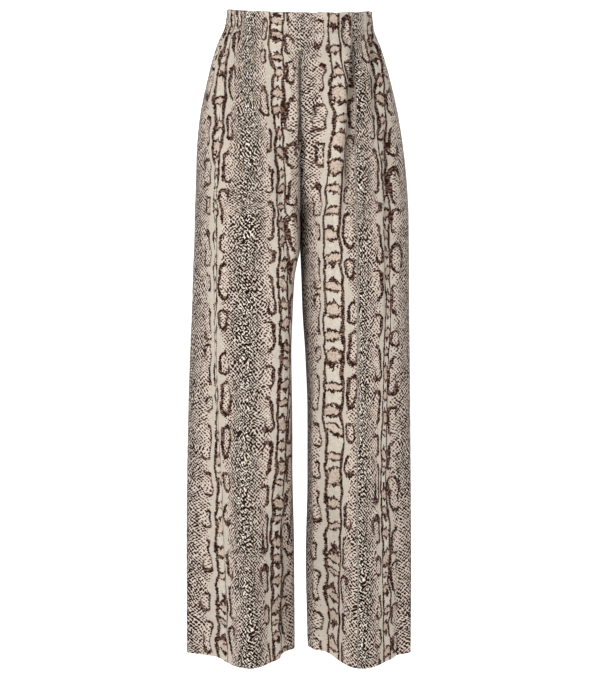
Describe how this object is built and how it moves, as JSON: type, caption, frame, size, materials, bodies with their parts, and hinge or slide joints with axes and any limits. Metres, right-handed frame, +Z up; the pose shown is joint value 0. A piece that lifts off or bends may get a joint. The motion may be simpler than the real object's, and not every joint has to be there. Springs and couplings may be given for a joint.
{
  "type": "palazzo pants",
  "caption": "Wide-leg pull-on pants with an elastic waist, standing open as worn, with straight loose legs and plain hems.",
  "frame": {"origin": "middle of the waist, halfway up the waistband, where the wearer holds the garment up", "axes": "+Z up along the body; the front faces -Y; the wearer's left leg is at +X"},
  "size_m": [0.3773, 0.2414, 1.0878],
  "materials": {
    "printed_cloth": "soft fluid crepe with an all-over snakeskin print in cream, taupe and dark brown",
    "elastic_casing": "the same printed crepe gathered over elastic"
  },
  "bodies": {
    "root": {"front_right": "printed_cloth", "front_left": "printed_cloth", "back_right": "printed_cloth", "back_left": "printed_cloth", "waistband_front": "elastic_casing", "waistband_back": "elastic_casing"}
  },
  "joints": []
}
